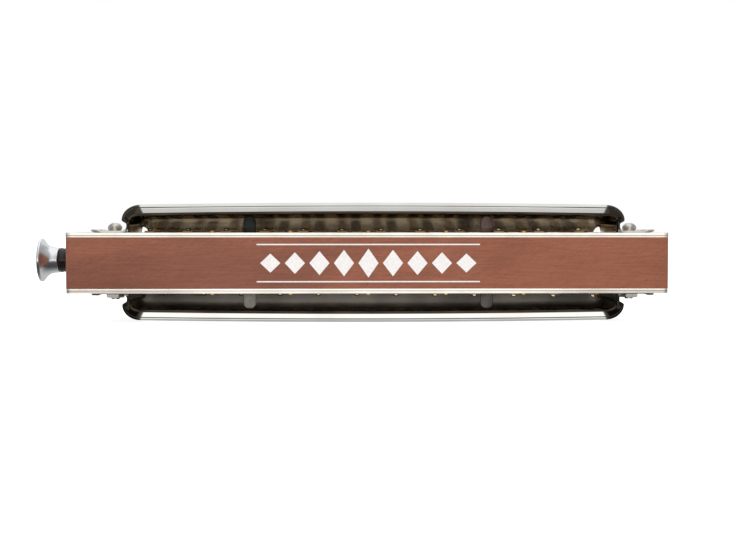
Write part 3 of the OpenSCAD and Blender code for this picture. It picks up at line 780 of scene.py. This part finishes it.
# From the comb's mouth side in to the anchored end, the coil's far end and its near end
ANCHOR_DEEP, COIL_DEEP, COIL_SHALLOW = 5.9, 3.0, 0.6
# From the coil's middle to the tip
TIP_IN, TIP_UP = 2.8, 5.4
WIRE_SIDES = 12


def make_spring():
    lo, hi = box_mm("slide_spring")
    slide_hi = box_mm("slide")[1]
    front = comb_hi.y
    centre_x, centre_z = hi.x - WIRE_R - COIL_R, lo.z + WIRE_R + COIL_R
    tip_x, tip_z = centre_x - TIP_IN, centre_z + TIP_UP
    back, near = front - COIL_DEEP, front - COIL_SHALLOW
    side_x = centre_x + COIL_R
    route = [(side_x, front - ANCHOR_DEEP, centre_z), (side_x, back - 0.5, centre_z)]
    for k in range(COIL_STEPS + 1):
        a = -2 * math.pi * COIL_TURNS * k / COIL_STEPS
        y = back + (near - back) * k / COIL_STEPS
        route.append((centre_x + COIL_R * math.cos(a), y, centre_z + COIL_R * math.sin(a)))
    route += [
        (tip_x + 0.6, near, tip_z - 1.2),
        (tip_x + 0.1, near + 0.1, tip_z - 0.15),
        (tip_x, front, tip_z),
        (tip_x, slide_hi.y - 0.05, tip_z),
    ]
    bm = bmesh.new()
    arm = Vector((0.3, 0.1, 1))
    rings = []
    for i, point in enumerate(route):
        tangent = (Vector(route[min(i + 1, len(route) - 1)]) - Vector(route[max(i - 1, 0)])).normalized()
        arm = (arm - arm.dot(tangent) * tangent).normalized()
        other = tangent.cross(arm)
        rings.append([
            bm.verts.new(Vector(point) + WIRE_R * (math.cos(a) * arm + math.sin(a) * other))
            for a in (2 * math.pi * k / WIRE_SIDES for k in range(WIRE_SIDES))
        ])
    for first, second in zip(rings, rings[1:]):
        for k in range(WIRE_SIDES):
            n = (k + 1) % WIRE_SIDES
            bm.faces.new((first[k], first[n], second[n], second[k]))
    bm.faces.new(rings[0])
    bm.faces.new(rings[-1])
    wire = finish_piece("return_spring_wire", bm, WIRE, None, ["slide_spring"])
    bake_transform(wire)


# ---- reed rivets: round heads on the reeds, peened ends on the other side ----
HOLES, PITCH = 12, 9.13
CHAMBER_OFFSET = 1.78
REED_SHORT, REED_LONG = 10.0, 20.5
PAD, PAD_LAP = 2.8, 0.1
SLOT_INSET = 3.0  # from the comb's mouth side to the slots' near ends
SHANK_R = 0.4
PLATE_T = 1.05
HEAD_UNDER, HEAD_OVER = 1.5, 0.3  # a round-headed shank's reach under and over the outer face
PEENED_BELOW = 0.75  # a peened shank's reach below the plate's inner face
REED_MARGIN = 4.0  # the reeds' lengths vary over a row this much longer at each end
# (height, radius) along a rivet's round head and along its peened end
BALL_HEAD = [
    (0.0, 0.42), (0.1, 0.55), (0.26, 0.64), (0.45, 0.65), (0.6, 0.58), (0.72, 0.42), (0.79, 0.2),
    (0.8, ON_AXIS),
]
PEENED_END = [(0.0, 0.5), (0.08, 0.54), (0.18, 0.46), (0.25, 0.26), (0.25, ON_AXIS)]


def make_rivets(name, deck):
    mouth_lo, mouth_hi = box_mm("mouthpiece")
    row_x = (mouth_lo.x + mouth_hi.x) / 2
    slot_front = comb_hi.y - SLOT_INSET
    bm = bmesh.new()
    for i in range(HOLES):
        for side in (-1, 1):
            x = row_x + (i - (HOLES - 1) / 2) * PITCH + side * deck * CHAMBER_OFFSET
            first = row_x - (HOLES - 1) / 2 * PITCH
            share = (x - first + REED_MARGIN) / ((HOLES - 1) * PITCH + 2 * REED_MARGIN)
            slot = REED_SHORT + (REED_LONG - REED_SHORT) * share
            y = slot_front - slot - PAD / 2 if side < 0 else slot_front + PAD / 2 - PAD_LAP
            low = cover_base - (HEAD_UNDER if side < 0 else PLATE_T + PEENED_BELOW)
            high = cover_base + (HEAD_OVER if side < 0 else 0)
            shape = BALL_HEAD if side < 0 else PEENED_END
            profile = [(low, ON_AXIS), (low, SHANK_R), (high, SHANK_R)]
            profile += [(high + h, r) for h, r in shape]
            profile = [(deck * a, r) for a, r in profile]
            add_lathe(bm, profile, (x, y, mid_z), "Z", 24)
    return finish_piece(name + "_heads", bm, RIVET, "body", [name])


# ---- supports: formed strips with round tops, standing between plate and rim ----
def make_support(name, deck):
    lo, hi = box_mm(name)
    x, half = (lo.x + hi.x) / 2, (hi.x - lo.x) / 2
    foot = cover_base
    top = max(abs(hi.z - mid_z), abs(lo.z - mid_z))
    y, thick, bevel = lo.y, 0.6, 0.16
    bm = bmesh.new()

    def outline(shrink):
        r = half - shrink
        side = [(r, foot), (r, (foot + top - half) / 2)]
        arc = [(r * math.cos(a), top - half + r * math.sin(a))
               for a in (math.pi * k / 24 for k in range(25))]
        return side + arc + [(-r, (foot + top - half) / 2), (-r, foot)]

    rings = []
    for inward, ahead in ((bevel, 0.0), (bevel * 0.3, bevel * 0.3), (0.0, bevel), (0.0, thick - bevel),
                          (bevel, thick)):
        rings.append([bm.verts.new((x + px, y + ahead, mid_z + deck * pz)) for px, pz in outline(inward)])
    count = len(rings[0])
    for first, second in zip(rings, rings[1:]):
        for k in range(count):
            n = (k + 1) % count
            bm.faces.new((first[k], first[n], second[n], second[k]))
    for ring in (rings[0], rings[-1]):
        bm.faces.new(ring)
    return finish_piece(name + "_strip", bm, SUPPORT_REFLECTIONS[name], "body", [name])


# ---- printed motif on the comb's back: a row of plain lozenges between two rules ----
LOZENGES_EACH_SIDE, LOZENGE_STEP = 4, 5.6
# Half sizes of the middle lozenge, and how much lower each next one is
LOZENGE_WIDE, LOZENGE_TALL, LOZENGE_LOSS = 2.3, 3.3, 0.28
RULE_HALF, RULE_T = 25.5, 0.3
RULE_LEVELS = (-4.4, 4.1)
INK_PROUD, INK_DEEP = 0.02, 0.01


def make_motif():
    centre_x = (comb_lo.x + comb_hi.x) / 2
    y_face = comb_lo.y
    bm = bmesh.new()

    def add_print(points):
        front = [bm.verts.new((centre_x + x, y_face - INK_PROUD, mid_z + z)) for x, z in points]
        back = [bm.verts.new((centre_x + x, y_face + INK_DEEP, mid_z + z)) for x, z in points]
        bm.faces.new(front)
        bm.faces.new(list(reversed(back)))
        for k in range(len(points)):
            n = (k + 1) % len(points)
            bm.faces.new((front[k], back[k], back[n], front[n]))

    for k in range(-LOZENGES_EACH_SIDE, LOZENGES_EACH_SIDE + 1):
        x, tall = k * LOZENGE_STEP, LOZENGE_TALL - LOZENGE_LOSS * abs(k)
        add_print([(x - LOZENGE_WIDE, 0), (x, tall), (x + LOZENGE_WIDE, 0), (x, -tall)])
    for z in RULE_LEVELS:
        top = z + RULE_T
        add_print([(-RULE_HALF, z), (RULE_HALF, z), (RULE_HALF, top), (-RULE_HALF, top)])
    piece = finish_piece("comb_print", bm, PRINT, "body", [])
    piece.data.shade_flat()
    return piece


CAD_LOOKS = {
    "comb": WOOD,
    "upper_reed_plate": PLATE,
    "lower_reed_plate": PLATE,
    "upper_draw_reeds": REED,
    "lower_draw_reeds": REED,
    "upper_blow_reeds": REED,
    "lower_blow_reeds": REED,
    "upper_outer_valves": VALVE,
    "lower_outer_valves": VALVE,
    "upper_inner_valves": VALVE,
    "lower_inner_valves": VALVE,
    "upper_plate_nails": NAIL,
    "lower_plate_nails": NAIL,
    "cover_screws": SCREW,
    "cover_nuts": SCREW,
    "slide_back_plate": SLIDE,
    "slide_cage": SLIDE,
    "slide": SLIDE,
    "mouthpiece": CHROME,
    "mouthpiece_screws": SCREW,
    "button_pin": SCREW,
}

make_camera()
make_world()
make_floor()
scene.view_settings.view_transform = "Standard"
for name, look in CAD_LOOKS.items():
    nodes[name].data.materials.clear()
    nodes[name].data.materials.append(look)
make_cover("upper_cover", 1, INSIDE)
make_cover("lower_cover", -1, LOWER_INSIDE)
make_rivets("upper_reed_rivets", 1)
make_rivets("lower_reed_rivets", -1)
for side_name in ("left", "right"):
    make_support("upper_" + side_name + "_support", 1)
    make_support("lower_" + side_name + "_support", -1)
make_spring()
make_button()
make_bumper()
make_motif()
